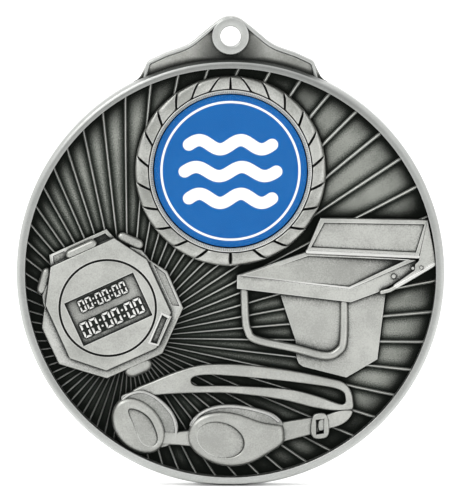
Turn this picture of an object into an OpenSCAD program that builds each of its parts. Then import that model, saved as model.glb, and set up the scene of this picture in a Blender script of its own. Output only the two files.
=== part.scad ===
// Cast swimming medal: a rimmed disc with a ribbon hanger, a rayed field, a collar for a
// 25 mm printed centre, and three raised emblems (stopwatch, starting block, goggles).
// It stands upright: +Z is up, the face looks towards -Y, and the back lies on y = 0.
// The origin is the centre of the ribbon hole, at the back.

/* [Disc] */
// Diameter over the rim
disc_d = 70; // [58:1:90]
// Thickness at the rim
rim_t = 5; // [4:0.1:7]
// Width of the raised rim
rim_w = 1.4; // [1:0.1:2.5]
// Width of the flat on top of the rim
rim_flat_w = 0.5; // [0.3:0.1:0.9]
// Drop of the bevel outside that flat
rim_bevel_h = 0.7; // [0.3:0.1:1.2]
// Chamfer round the back edge
back_chamfer = 0.3; // [0.1:0.05:0.6]
// Thickness from the back to the field
field_t = 2.4; // [1.8:0.1:3.2]
// Depth of the recess in the back
back_recess = 0.3; // [0.1:0.05:0.6]
// Width of the flat border round the back
back_border_w = 4; // [2:0.5:8]

/* [Hanger] */
// Diameter of the ribbon hole
hole_d = 3.34; // [2.5:0.02:5]
// Height of the hole's centre above the disc's edge
hole_rise = 3.7; // [3:0.1:7]
// Wall of the eyelet round the hole
eyelet_w = 1.35; // [1:0.05:2]
// Length of the eyelet through the hanger
eyelet_t = 3.3; // [2.8:0.1:4.5]
// Round on the eyelet's front edge
eyelet_round = 0.3; // [0.1:0.05:0.5]
// Metal left outside the eyelet
hanger_lip = 0.25; // [0.2:0.05:1]
// Thickness of the hanger plate
hanger_t = 2.1; // [1.6:0.1:2.6]
// Width over the hanger's shoulders
shoulder_w = 27.8; // [22:0.1:34]
// Width over the hanger's feet
foot_w = 29.6; // [23:0.1:36]
// Drop of the shoulders below the disc's top
shoulder_drop = 0.2; // [0:0.05:0.8]
// Hollow of the flanks, where 1 is straight
flank_hollow = 1.5; // [1:0.05:1.8]
// Width of the raised edge
edge_w = 0.5; // [0.3:0.05:1]
// Height of the raised edge
edge_h = 0.35; // [0.2:0.05:0.8]

/* [Printed centre] */
// Diameter of the printed disc
insert_d = 25; // [20:0.5:32]
// Thickness of the printed disc
insert_t = 0.6; // [0.3:0.1:1]
// Thickness of the adhesive pad
pad_t = 0.15; // [0.1:0.05:0.3]
// Thickness of the clear film
film_t = 0.1; // [0.05:0.05:0.3]
// Gap round the printed disc in its seat
seat_clear = 0.15; // [0.1:0.05:0.4]
// Depth of the seat below the field
seat_depth = 0.2; // [0.1:0.05:0.4]

/* [Collar] */
// Width of the inner bead ring
bead_w = 0.7; // [0.5:0.05:1.2]
// Height of the bead ring above the field
bead_h = 0.9; // [0.6:0.1:1.4]
// Width of the groove between bead ring and leaf ring
collar_groove_w = 0.25; // [0.15:0.05:0.5]
// Width of the leaf ring
leaf_w = 2; // [1.5:0.1:3]
// Height of the leaf ring above the field
leaf_h = 1.6; // [1.2:0.1:2.4]
// Leaves on each side of the centreline
leaf_count = 12; // [8:1:16]
// Width of the cut between two leaves
leaf_cut_w = 0.25; // [0.15:0.05:0.5]
// Height of the band under the cuts
leaf_band_h = 0.5; // [0.3:0.1:0.9]
// Angle that each cut sweeps from its outer end to its inner end
leaf_sweep = 7; // [0:1:10]
// Space between the collar and the rim
collar_gap = 1.3; // [1:0.1:3]

/* [Rays] */
// Number of ribs in the full turn
ray_count = 63; // [48:1:72]
// Angle of the first rib
ray_start = 90.6; // [0:0.1:180]
// Height of the ribs above the field
ray_h = 0.3; // [0.15:0.05:0.5]
// Width that a rib gains over each millimetre of its length
ray_taper = 0.011; // [0.006:0.001:0.02]
// Clearance between the ribs and the collar
ray_clear = 0.05; // [0.02:0.01:0.2]

/* [Stopwatch] */
// Tilt of the stopwatch
watch_tilt = 24.4; // [0:0.1:45]
// Height of the back case above the field
watch_back_h = 1.1; // [0.8:0.1:1.5]
// Height of the front case above the back case
watch_front_h = 0.8; // [0.6:0.1:1.2]
// Radius of the ring groove on the front case
watch_ring_r = 7.65; // [7:0.05:7.8]
// Width and depth of that groove
watch_groove = 0.3; // [0.2:0.05:0.4]
// Width of the display
display_w = 12.4; // [10:0.1:13]
// Height of the display
display_h = 7.7; // [6:0.1:8]
// Depth of the display below the front case
display_depth = 0.5; // [0.3:0.05:0.55]
// Height of the digits above the display floor
digit_relief = 0.35; // [0.15:0.05:0.5]
// Height of the buttons and the bracket above the field
button_h = 0.95; // [0.6:0.05:1.05]

/* [Starting block] */
// Height of the pedestal above the field
pedestal_h = 1; // [0.7:0.1:1.3]
// Height of the platform above the field
platform_h = 1.9; // [1.5:0.1:2.3]
// Height of the footrest above the field
footrest_h = 2.1; // [1.7:0.1:2.4]
// Height of the side plate above the field
side_plate_h = 2.2; // [1.8:0.1:2.4]
// Depth of the tread and of the footrest panel below their frames
panel_depth = 0.35; // [0.2:0.05:0.6]
// Width of the handrail tube
rail_w = 1.15; // [0.8:0.05:1.5]
// Height of the handrail above the field
rail_h = 1.8; // [1.4:0.1:2.2]
// Radius of the large bolt head
bolt_r = 0.4; // [0.3:0.05:0.5]
// Height of the bolt heads
bolt_h = 0.2; // [0.1:0.05:0.3]

/* [Goggles] */
// Height of the cups above the field
cup_h = 2; // [1.6:0.1:2.3]
// Height of the gaskets above the field
gasket_h = 1.2; // [0.8:0.1:1.5]
// Depth of the lenses below the cups
lens_depth = 0.4; // [0.2:0.05:0.6]
// Height of the nose bridge above the field
bridge_h = 1.6; // [1.2:0.1:1.9]
// Height of the straps above the field
strap_h = 1.3; // [0.9:0.1:1.6]
// Height of the buckle above the field
buckle_h = 1.7; // [1.4:0.1:2]

/* [Hidden] */
$fn = 96;

// Finishes
bright = [0.78, 0.78, 0.75];
satin = [0.66, 0.66, 0.63];
dark = [0.2, 0.22, 0.2];

// Overlap of a cut past the face that it opens
past = 1;

// The round ends of a bar are this much larger than its width, to join it cleanly
bar_end_swell = 1.001;

// Disc
disc_r = disc_d / 2;
field_r = disc_r - rim_w;
hole_z = disc_r + hole_rise;

// The emblems are drawn for a field of this radius and grow with the field
art_field_r = 33.6;
art_k = field_r / art_field_r;

// Hanger
hole_r = hole_d / 2;
eyelet_r = hole_r + eyelet_w;
crown_r = eyelet_r + hanger_lip;
crown_angle = 52;
flank_steps = 10;
shoulder_z = disc_r - shoulder_drop;

// Collar, from its seat outwards
insert_r = insert_d / 2;
seat_r = insert_r + seat_clear;
bead_r = seat_r + bead_w;
leaf_in_r = bead_r + collar_groove_w;
collar_r = leaf_in_r + leaf_w;
insert_at = [0, field_r - collar_gap - collar_r];
bead_round_share = 0.25;
leaf_flat_share = 0.4;
leaf_shoulder_share = 0.7;
cut_past_share = 0.25;
first_cut_share = 1 / 3;
seat_floor = field_t - seat_depth;
insert_floor = seat_floor + pad_t;
film_floor = insert_floor + insert_t;

// Rays spread from a point behind the stopwatch
ray_from = [-16.8, -10.8] * art_k;
ray_reach = 2 * disc_r;
ray_step = 360 / ray_count;

// Stopwatch, drawn upright about the centre of its ring
watch_at = [-20.1, -5.7] * art_k;
watch_top = field_t + watch_back_h + watch_front_h;
display_at = [0, -0.25];
back_case_half = [[5, -10.6], [11.2, -5.2], [11.3, 1.4], [9.5, 4.2]];
front_case_half = [[4.5, -9.3], [9.1, -5], [9.1, 4.6], [5.7, 10]];
bracket_half = [[5.8, 10], [5.1, 11.8]];
bracket_slot_half = [[5.1, 10.35], [4.6, 11.3]];
strap_slot = [[7.5, -4.9], [8.1, -5.7], [4.9, -8.7], [4, -8]];
side_button_at = [8.05, 8.5];
side_button_turn = -48;
side_button_size = [4.3, 1.3];
lower_button_at = [0.5, -11.2];
lower_button_size = [4.6, 1.6];
top_button_at = [0, 10.55];
top_button_size = [5.4, 1.3];
button_clear = 0.05;

// Digits: two rows, each read as three pairs with a colon between
digit_rows = [[2.05, 2], [-1.75, 2.6]];
digit_w_share = 0.5;
digit_pitch_share = 0.62;
colon_pitch_share = 0.28;
segment_share = 0.13;
segment_gap = 0.04;
colon_rise_share = 0.2;

// Starting block, seen in perspective
platform_outline = [[0.7, -0.4], [12.5, 3.2], [30.2, 2], [30.7, 0.6], [24.4, -3], [19.7, -4.8],
    [0.7, -2.4]];
tread_outline = [[2.6, -0.5], [12.5, 2.8], [27.8, 1.9], [19.5, -2.1]];
footrest_outline = [[14.7, 9], [32.3, 8.5], [30.8, 2.5], [12.3, 3.4]];
footrest_panel_outline = [[15.2, 8.2], [31.7, 7.8], [30.4, 3.4], [13.1, 4.1]];
side_plate_outline = [[32.2, 8.5], [33.2, 3], [33.3, 1.2], [25.8, -3.2], [24.4, -3.4], [24.1, -3],
    [29.6, 0.2], [30.7, 2]];
pedestal_outline = [[8, -3.2], [19.5, -4.6], [25.5, -2.6], [24.1, -14.3], [19, -17.3],
    [11.7, -15.4], [10.9, -14.2], [10.6, -11.1]];
rail_path = [[2.25, -2.2], [2.4, -7], [2.8, -9.4], [4.2, -11], [10.4, -12.4], [15.4, -13.6],
    [17.6, -12.9], [18.5, -11], [18.6, -4.6]];
big_bolt_at = [26.7, -0.5];
small_bolts_at = [[29.8, 0.9], [31.2, 1]];
small_bolt_share = 0.65;

// Goggles
left_cup_points = [[-19.3, -23.5], [-18.4, -21.3], [-16.5, -20.6], [-14.3, -21.3],
    [-12.2, -23.1], [-10.9, -25.6], [-11.1, -28], [-12.6, -29.4], [-15, -29.6], [-17.3, -28.4],
    [-18.8, -26.3]];
left_lens_points = [[-16.6, -22.6], [-14.9, -22.9], [-13.4, -24], [-12.4, -25.6],
    [-12.1, -27.2], [-12.6, -28.1], [-13.6, -28.3], [-14.7, -27.6], [-15.7, -25.2]];
left_gasket_points = [[-17.9, -20.9], [-16.4, -19.7], [-14.5, -19.3], [-12.5, -20.1],
    [-10.6, -21.6], [-9.2, -23.5], [-8.6, -25.7], [-9.4, -27.9], [-12, -28.6], [-14, -25]];
right_cup_points = [[-6.9, -26.5], [-6.1, -24.6], [-4.4, -23.4], [-1.8, -22.9], [0.6, -23.15],
    [2.7, -23.8], [4.9, -24.6], [7.2, -25], [8.5, -25.2], [8.8, -26.6], [8.5, -28.2],
    [6.2, -29.7], [3.9, -31], [1.8, -31.65], [-0.4, -31.8], [-2.8, -31.3], [-5.1, -30],
    [-6.6, -28.4]];
right_lens_at = [-1.6, -27.45];
right_lens_axes = [3.95, 2.75];
right_lens_tilt = -18;
right_gasket_points = [[-6.6, -25.4], [-5.4, -23.3], [-3.1, -22.1], [-0.2, -21.7],
    [3.2, -22.1], [6.4, -23], [8, -24], [8.5, -25.2], [6, -26], [-2, -26]];
bridge_outline = [[-10.6, -26.1], [-8.8, -26.2], [-6.7, -25.9], [-6.7, -28.5], [-11.2, -28.3]];
strap_points = [[-16.2, -19.6], [-12.6, -17.8], [-8.6, -16.2], [-4.6, -15.2], [0.8, -15.1],
    [6.3, -15.6], [11.6, -16.4], [16.2, -17.4], [18.4, -18], [19.6, -19.2], [20.1, -20.9],
    [19.9, -22.6], [17.2, -22.8], [14, -22.3], [8.8, -21], [3.4, -20.2], [-1.9, -19.8],
    [-9.4, -19.95], [-12.5, -20.4], [-14.5, -21.5]];
strap_slot_points = [[-6.5, -17.8], [-5.6, -17], [-1.9, -16.85], [6.3, -17.55], [14.8, -18.6],
    [17.9, -19.3], [18.8, -20.3], [18.3, -21.7], [13.8, -20.2], [9.6, -19.2], [3.4, -18.75],
    [-1.9, -18.6], [-5.6, -18.6]];
side_strap_outline = [[8, -24.7], [13.6, -23.8], [14, -26.5], [8.4, -27.9]];
buckle_points = [[13.4, -24.4], [13.9, -23.4], [15.3, -23.2], [15.9, -23.9], [16.1, -25.6],
    [16.1, -26.5], [15.5, -27.1], [13.9, -27.2], [13.3, -26.4]];
buckle_window = [[14.05, -24.8], [15.3, -24.6], [15.1, -26.3], [14.15, -26.5]];
tail_points = [[15, -24], [17.2, -22.9], [19.2, -22.6], [20, -22.9], [19.4, -24.1],
    [18, -25.1], [16, -25.7], [14.9, -25.9]];

// A smooth curve through points: Catmull-Rom, closed or open
function curve_point(a, b, c, d, t) =
    (2 * b + (c - a) * t + (2 * a - 5 * b + 4 * c - d) * t * t
        + (3 * b - a - 3 * c + d) * t * t * t) / 2;
function closed_curve(p, steps) = [
    for (i = [0 : len(p) - 1], s = [0 : steps - 1])
        curve_point(p[(i + len(p) - 1) % len(p)], p[i], p[(i + 1) % len(p)],
            p[(i + 2) % len(p)], s / steps)];
function open_curve(p, steps) = concat([
    for (i = [0 : len(p) - 2], s = [0 : steps - 1])
        curve_point(p[max(i - 1, 0)], p[i], p[i + 1], p[min(i + 2, len(p) - 1)], s / steps)],
    [p[len(p) - 1]]);

// Outlines that mirror about x = 0, from their right half read upwards
function both_sides(half) = concat(half, [
    for (i = [len(half) - 1 : -1 : 0]) [-half[i].x, half[i].y]]);

// Points beside a path, at the distance d to its left
function along(p, i) = p[min(i + 1, len(p) - 1)] - p[max(i - 1, 0)];
function beside(p, d) = [
    for (i = [0 : len(p) - 1])
        let (v = along(p, i)) p[i] + d * [-v.y, v.x] / norm(v)];
function reversed(p) = [for (i = [len(p) - 1 : -1 : 0]) p[i]];

function ellipse_points(axes, count) = [
    for (i = [0 : count - 1]) [axes.x * cos(i * 360 / count), axes.y * sin(i * 360 / count)]];

curve_steps = 4;

// Puts a face-up drawing, with the disc's centre at its origin, into the upright frame
module upright() {
    translate([0, 0, -hole_z]) rotate([90, 0, 0]) children();
}

module raised(base, height) {
    translate([0, 0, base]) linear_extrude(height) children();
}

module art(points) {
    polygon(points * art_k);
}

module art_curve(points) {
    polygon(closed_curve(points, curve_steps) * art_k);
}

// Keeps an emblem off the collar and inside the rim
module within_field() {
    intersection() {
        circle(field_r);
        difference() {
            children();
            translate(insert_at) circle(collar_r);
        }
    }
}

module at_watch() {
    translate(watch_at) rotate(watch_tilt) children();
}

// ---- Disc and hanger ----

module field_disc() {
    border_r = disc_r - back_border_w;
    color(dark) upright() difference() {
        cylinder(h = field_t, r = field_r);
        translate([0, 0, -past]) cylinder(h = back_recess + past, r = border_r);
        translate([insert_at.x, insert_at.y, seat_floor]) cylinder(h = seat_depth + past, r = seat_r);
    }
}

module rim() {
    color(bright) upright() rotate_extrude() polygon([
        [field_r, 0], [disc_r - back_chamfer, 0], [disc_r, back_chamfer],
        [disc_r, rim_t - rim_bevel_h], [disc_r - rim_bevel_h / 2, rim_t - rim_bevel_h / 4],
        [field_r + rim_flat_w, rim_t], [field_r, rim_t]]);
}

// The right flank, from the crown down to the shoulder
function flank(inset) =
    let (
        top_r = crown_r - inset,
        from = [top_r * cos(crown_angle), hole_z + top_r * sin(crown_angle)],
        to = [shoulder_w / 2 - inset, shoulder_z - inset])
    [for (i = [0 : flank_steps])
        let (s = i / flank_steps)
        [from.x + s * (to.x - from.x), to.y + (from.y - to.y) * pow(1 - s, flank_hollow)]];

// The right half of the crown, from near its top down to the flank
function crown(inset) = [
    for (i = [0.5 : flank_steps - 0.5])
        let (a = 90 - (90 - crown_angle) * i / flank_steps)
        [(crown_r - inset) * cos(a), hole_z + (crown_r - inset) * sin(a)]];

module hanger_outline(inset) {
    foot_z = sqrt(disc_r * disc_r - foot_w * foot_w / 4);
    right_half = concat(crown(inset), flank(inset), [[foot_w / 2 - inset, foot_z - past]]);
    polygon(both_sides(right_half));
}

module hanger_shape(inset) {
    difference() {
        hanger_outline(inset);
        circle(disc_r);
        translate([0, hole_z]) circle(eyelet_r);
    }
}

module hanger_plate() {
    color(satin) upright() raised(0, hanger_t) hanger_shape(0);
}

module hanger_edge() {
    color(bright) upright() raised(hanger_t, edge_h) difference() {
        hanger_shape(0);
        hanger_outline(edge_w);
    }
}

module eyelet() {
    color(bright) upright() translate([0, hole_z, 0]) rotate_extrude() polygon([
        [hole_r, 0], [eyelet_r, 0], [eyelet_r, eyelet_t - eyelet_round],
        [eyelet_r - eyelet_round, eyelet_t], [hole_r, eyelet_t]]);
}

// ---- Collar and printed centre ----

module collar_bead_ring() {
    top = field_t + bead_h;
    bead_round = bead_w * bead_round_share;
    color(satin) upright() translate(insert_at) rotate_extrude() polygon([
        [seat_r, field_t], [bead_r, field_t], [bead_r, top - bead_round],
        [bead_r - bead_round, top], [seat_r + bead_round, top], [seat_r, top - bead_round]]);
}

function on_clock(radius, angle) = [radius * sin(angle), radius * cos(angle)];

module leaf_cut(outer_angle, inner_angle) {
    outside = on_clock(collar_r, outer_angle);
    inside = on_clock(leaf_in_r, inner_angle);
    run = outside - inside;
    cut_past = leaf_w * cut_past_share;
    translate([inside.x, inside.y, field_t + leaf_band_h])
        rotate(atan2(run.y, run.x))
        translate([-cut_past, -leaf_cut_w / 2, 0])
        cube([norm(run) + 2 * cut_past, leaf_cut_w, leaf_h]);
}

module collar_leaf_ring() {
    crown_steps = 5;
    leaf_step = 180 / leaf_count;
    first_cut = leaf_step * first_cut_share;
    flat_r = leaf_in_r + leaf_w * leaf_flat_share;
    shoulder_h = leaf_h * leaf_shoulder_share;
    crown = [for (i = [0 : crown_steps])
        let (a = 90 * i / crown_steps)
        [flat_r + (collar_r - flat_r) * sin(a),
            field_t + leaf_h - shoulder_h * (1 - cos(a))]];
    color(bright) upright() translate(insert_at) difference() {
        rotate_extrude() polygon(concat(
            [[collar_r, field_t], [leaf_in_r, field_t], [leaf_in_r, field_t + leaf_h]], crown));
        leaf_cut(0, 0);
        leaf_cut(180, 180);
        for (side = [-1, 1], k = [0 : leaf_count - 2]) {
            outer_angle = first_cut + leaf_step * k;
            leaf_cut(side * outer_angle, side * (outer_angle + leaf_sweep));
        }
    }
}

module insert_pad() {
    color("white") upright() translate([insert_at.x, insert_at.y, seat_floor])
        cylinder(h = pad_t, r = insert_r);
}

module insert_disc() {
    color([0.1, 0.38, 0.7]) upright() translate([insert_at.x, insert_at.y, insert_floor])
        cylinder(h = insert_t, r = insert_r);
}

module insert_film() {
    color([0.6, 0.8, 0.95]) upright() translate([insert_at.x, insert_at.y, film_floor])
        cylinder(h = film_t, r = insert_r);
}

// ---- Rays ----

module watch_footprint() {
    at_watch() {
        art(both_sides(back_case_half));
        art(both_sides(front_case_half));
        art(both_sides(bracket_half));
        side_button_shape(1);
        side_button_shape(-1);
        lower_button_shape();
    }
}

module block_footprint() {
    art(platform_outline);
    art(footrest_outline);
    art(side_plate_outline);
    art(pedestal_outline);
    rail_shape();
}

module goggle_footprint() {
    art_curve(left_cup_points);
    art_curve(left_gasket_points);
    art_curve(right_cup_points);
    art_curve(right_gasket_points);
    art(bridge_outline);
    strap_shape();
    art(side_strap_outline);
    art_curve(buckle_points);
    art_curve(tail_points);
}

module rays() {
    half_w = ray_reach * ray_taper / 2;
    color(satin) upright() raised(field_t, ray_h) intersection() {
        circle(field_r);
        difference() {
            translate(ray_from) for (i = [0 : ray_count - 1])
                rotate(ray_start + ray_step * i)
                    polygon([[0, 0], [ray_reach, -half_w], [ray_reach, half_w]]);
            translate(insert_at) circle(collar_r + ray_clear);
            watch_footprint();
            block_footprint();
            goggle_footprint();
        }
    }
}

// ---- Stopwatch ----

module rounded_bar(size) {
    end_r = size.y / 2;
    square([size.x - size.y, size.y], center = true);
    for (side = [-1, 1])
        translate([side * (size.x / 2 - end_r), 0]) circle(end_r * bar_end_swell);
}

module side_button_shape(side) {
    difference() {
        translate([side * side_button_at.x, side_button_at.y] * art_k)
            rotate(side * side_button_turn) rounded_bar(side_button_size * art_k);
        watch_body_shape();
    }
}

module lower_button_shape() {
    difference() {
        translate(lower_button_at * art_k) rounded_bar(lower_button_size * art_k);
        watch_body_shape();
    }
}

module top_button_shape() {
    difference() {
        translate(top_button_at * art_k) rounded_bar(top_button_size * art_k);
        watch_body_shape();
    }
}

module watch_body_shape() {
    art(both_sides(back_case_half));
    art(both_sides(front_case_half));
}

module watch_back_case() {
    color(satin) upright() raised(field_t, watch_back_h) within_field() at_watch() {
        watch_body_shape();
    }
}

module watch_front_case() {
    groove_floor = watch_front_h - watch_groove;
    display = [display_w, display_h] * art_k;
    color(bright) upright() translate([0, 0, field_t + watch_back_h]) difference() {
        raised(0, watch_front_h) within_field() at_watch() art(both_sides(front_case_half));
        translate(watch_at) translate([0, 0, groove_floor]) difference() {
            cylinder(h = watch_groove + past, r = (watch_ring_r + watch_groove) * art_k);
            translate([0, 0, -past]) cylinder(h = watch_groove + 3 * past, r = watch_ring_r * art_k);
        }
        raised(watch_front_h - display_depth, display_depth + past)
            at_watch() translate(display_at * art_k) square(display, center = true);
        raised(watch_front_h - display_depth, display_depth + past)
            at_watch() art(strap_slot);
    }
}

// One zero of a seven-part display: two level bars and four upright ones
module zero_digit(height) {
    width = height * digit_w_share;
    bar = height * segment_share;
    // Half the height, less a level bar and half of the middle bar that a zero leaves out
    upright_h = height / 2 - bar - bar / 2;
    for (side = [-1, 1]) {
        translate([0, side * (height - bar) / 2])
            square([width - bar - 2 * segment_gap, bar], center = true);
        for (level = [-1, 1])
            translate([side * (width - bar) / 2, level * (upright_h / 2 + segment_gap)])
                square([bar, upright_h - segment_gap], center = true);
    }
}

module colon(height) {
    dot = height * segment_share;
    for (level = [-1, 1]) translate([0, level * height * colon_rise_share]) square(dot, center = true);
}

// Three pairs of digits with a colon between the pairs, centred on x = 0
module digit_row(height) {
    pitch = height * digit_pitch_share;
    colon_pitch = height * colon_pitch_share;
    pair_pitch = 2 * pitch + colon_pitch;
    for (pair = [-1, 0, 1], half = [-1, 1])
        translate([pair * pair_pitch + half * pitch / 2, 0]) zero_digit(height);
    for (side = [-1, 1]) translate([side * pair_pitch / 2, 0]) colon(height);
}

module watch_digits() {
    color(bright) upright() raised(watch_top - display_depth, digit_relief) at_watch()
        for (row = digit_rows) translate([0, row[0] * art_k]) digit_row(row[1] * art_k);
}

module watch_bracket() {
    color(satin) upright() raised(field_t, button_h) within_field() at_watch() difference() {
        art(both_sides(bracket_half));
        art(both_sides(bracket_slot_half));
        watch_body_shape();
        top_button_shape();
    }
}

module watch_top_button() {
    color(bright) upright() raised(field_t, button_h) within_field() at_watch()
        top_button_shape();
}

module watch_left_button() {
    color(bright) upright() raised(field_t, button_h) within_field() at_watch()
        side_button_shape(-1);
}

module watch_right_button() {
    color(bright) upright() raised(field_t, button_h) within_field() at_watch()
        side_button_shape(1);
}

module watch_lower_button() {
    color(bright) upright() raised(field_t, button_h) within_field() at_watch()
        lower_button_shape();
}

// ---- Starting block ----

module rail_shape() {
    path = open_curve(rail_path, curve_steps) * art_k;
    half_w = rail_w / 2;
    polygon(concat(beside(path, half_w), reversed(beside(path, -half_w))));
}

module block_pedestal() {
    color(satin) upright() raised(field_t, pedestal_h) within_field() difference() {
        art(pedestal_outline);
        art(platform_outline);
        art(side_plate_outline);
        rail_shape();
    }
}

module block_platform() {
    color(bright) upright() raised(field_t, platform_h) within_field() difference() {
        art(platform_outline);
        art(tread_outline);
        art(side_plate_outline);
        art(footrest_outline);
    }
}

module block_tread() {
    color(satin) upright() raised(field_t, platform_h - panel_depth) within_field()
        difference() {
            art(tread_outline);
            art(side_plate_outline);
            art(footrest_outline);
        }
}

module block_footrest_frame() {
    color(bright) upright() raised(field_t, footrest_h) within_field() difference() {
        art(footrest_outline);
        art(footrest_panel_outline);
        art(side_plate_outline);
    }
}

module block_footrest_panel() {
    color(satin) upright() raised(field_t, footrest_h - panel_depth) within_field()
        difference() {
            art(footrest_panel_outline);
            art(side_plate_outline);
        }
}

module block_side_plate() {
    color(satin) upright() raised(field_t, side_plate_h) within_field() art(side_plate_outline);
}

module block_handrail() {
    color(bright) upright() raised(field_t, rail_h) within_field() difference() {
        rail_shape();
        art(platform_outline);
    }
}

module bolt_head(at, radius, base) {
    translate([at.x * art_k, at.y * art_k, field_t + base]) cylinder(h = bolt_h, r = radius);
}

module block_bolts() {
    color(bright) upright() {
        bolt_head(big_bolt_at, bolt_r, platform_h);
        for (at = small_bolts_at) bolt_head(at, bolt_r * small_bolt_share, side_plate_h);
    }
}

// ---- Goggles ----

module strap_shape() {
    difference() {
        art_curve(strap_points);
        art_curve(strap_slot_points);
    }
}

module right_lens_shape() {
    translate(right_lens_at * art_k) rotate(right_lens_tilt)
        polygon(ellipse_points(right_lens_axes * art_k, 48));
}

module goggle_left_gasket() {
    color(satin) upright() raised(field_t, gasket_h) within_field() difference() {
        art_curve(left_gasket_points);
        art_curve(left_cup_points);
        art(bridge_outline);
    }
}

module goggle_left_cup() {
    color(bright) upright() raised(field_t, cup_h) within_field() difference() {
        art_curve(left_cup_points);
        art_curve(left_lens_points);
    }
}

module goggle_left_lens() {
    color(satin) upright() raised(field_t, cup_h - lens_depth) within_field()
        art_curve(left_lens_points);
}

module goggle_bridge() {
    color(bright) upright() raised(field_t, bridge_h) within_field() difference() {
        art(bridge_outline);
        art_curve(left_cup_points);
        art_curve(right_cup_points);
    }
}

module goggle_right_gasket() {
    color(satin) upright() raised(field_t, gasket_h) within_field() difference() {
        art_curve(right_gasket_points);
        art_curve(right_cup_points);
        art(side_strap_outline);
    }
}

module goggle_right_cup() {
    color(bright) upright() raised(field_t, cup_h) within_field() difference() {
        art_curve(right_cup_points);
        right_lens_shape();
    }
}

module goggle_right_lens() {
    color(satin) upright() raised(field_t, cup_h - lens_depth) within_field()
        right_lens_shape();
}

module goggle_strap() {
    color(bright) upright() raised(field_t, strap_h) within_field() difference() {
        strap_shape();
        art_curve(left_gasket_points);
        art_curve(left_cup_points);
        art_curve(tail_points);
    }
}

module goggle_side_strap() {
    color(bright) upright() raised(field_t, strap_h) within_field() difference() {
        art(side_strap_outline);
        art_curve(right_cup_points);
        art_curve(buckle_points);
    }
}

module goggle_buckle() {
    color(bright) upright() raised(field_t, buckle_h) within_field() difference() {
        art_curve(buckle_points);
        art(buckle_window);
    }
}

module goggle_strap_tail() {
    color(bright) upright() raised(field_t, strap_h) within_field() {
        difference() {
            art_curve(tail_points);
            art_curve(buckle_points);
        }
        art(buckle_window);
    }
}

field_disc();
rim();
rays();
hanger_plate();
hanger_edge();
eyelet();
collar_bead_ring();
collar_leaf_ring();
insert_pad();
insert_disc();
insert_film();
watch_back_case();
watch_front_case();
watch_digits();
watch_bracket();
watch_top_button();
watch_left_button();
watch_right_button();
watch_lower_button();
block_pedestal();
block_platform();
block_tread();
block_footrest_frame();
block_footrest_panel();
block_side_plate();
block_handrail();
block_bolts();
goggle_left_gasket();
goggle_left_cup();
goggle_left_lens();
goggle_bridge();
goggle_right_gasket();
goggle_right_cup();
goggle_right_lens();
goggle_strap();
goggle_side_strap();
goggle_buckle();
goggle_strap_tail();
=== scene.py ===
"""Looks of the swimming medal: cast relief in antique silver round a printed centre."""

import math

import bmesh
import bpy
from mathutils import Matrix, Vector


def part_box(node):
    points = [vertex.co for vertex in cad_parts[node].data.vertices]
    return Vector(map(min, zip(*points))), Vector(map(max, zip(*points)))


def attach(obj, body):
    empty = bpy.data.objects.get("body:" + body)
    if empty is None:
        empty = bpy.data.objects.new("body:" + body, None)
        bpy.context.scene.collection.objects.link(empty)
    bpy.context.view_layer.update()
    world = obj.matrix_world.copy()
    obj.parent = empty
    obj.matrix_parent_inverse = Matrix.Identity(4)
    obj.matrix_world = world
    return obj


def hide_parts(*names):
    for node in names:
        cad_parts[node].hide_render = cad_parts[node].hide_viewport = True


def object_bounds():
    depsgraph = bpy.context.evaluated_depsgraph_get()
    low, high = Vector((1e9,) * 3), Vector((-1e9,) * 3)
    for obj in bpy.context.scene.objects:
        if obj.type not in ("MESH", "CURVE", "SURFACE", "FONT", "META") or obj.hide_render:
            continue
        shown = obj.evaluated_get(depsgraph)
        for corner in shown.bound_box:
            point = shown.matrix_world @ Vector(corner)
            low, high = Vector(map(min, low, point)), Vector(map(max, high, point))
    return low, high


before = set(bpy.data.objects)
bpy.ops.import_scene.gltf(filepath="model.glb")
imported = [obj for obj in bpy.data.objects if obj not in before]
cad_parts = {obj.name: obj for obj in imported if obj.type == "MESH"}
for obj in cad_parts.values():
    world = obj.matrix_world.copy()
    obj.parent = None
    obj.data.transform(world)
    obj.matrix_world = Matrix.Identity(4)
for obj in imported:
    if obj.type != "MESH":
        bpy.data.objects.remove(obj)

MM = 0.001
cad_low, cad_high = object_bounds()

# ---- Sizes from the frame, in millimetres on the face: x to the right, y up, z out of the face ----


def front(node):
    """How far a node stands out of the back, at its highest."""
    return -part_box(node)[0].y / MM


def centre_of(node):
    low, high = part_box(node)
    return Vector(((low.x + high.x) / 2, (low.z + high.z) / 2))


def radius_of(node):
    low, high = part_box(node)
    return (high.x - low.x) / 2 / MM


disc_at = centre_of("rim")
disc_r = radius_of("rim")
field_r = radius_of("field_disc")
field_top = front("field_disc")
rim_top = front("rim")
UPRIGHT = (
    Matrix.Translation((disc_at.x, 0, disc_at.y))
    @ Matrix.Rotation(math.radians(90), 4, "X")
    @ Matrix.Scale(MM, 4)
)


def on_face(node):
    """Centre of a node, seen from the disc's centre."""
    at = (centre_of(node) - disc_at) / MM
    return Vector((at.x, at.y))


insert_at = on_face("insert_disc")
insert_r = radius_of("insert_disc")
insert_top = front("insert_disc")
film_top = front("insert_film")
collar_r = radius_of("collar_leaf_ring")
bead_r = radius_of("collar_bead_ring")
seat_r = insert_r + 0.18
leaf_in_r = bead_r + 0.1
leaf_top = front("collar_leaf_ring")
hole_at = on_face("eyelet")
eyelet_r = radius_of("eyelet")
hole_r = eyelet_r - 1.35
buried = field_top - 0.3

border_r = disc_r - 4

# ---- Outlines ----


def curve_point(a, b, c, d, t):
    bend = 2 * a - 5 * b + 4 * c - d
    twist = 3 * b - a - 3 * c + d
    return (2 * b + (c - a) * t + bend * t * t + twist * t**3) / 2


def straight(points):
    return [Vector(point) for point in points]


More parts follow.
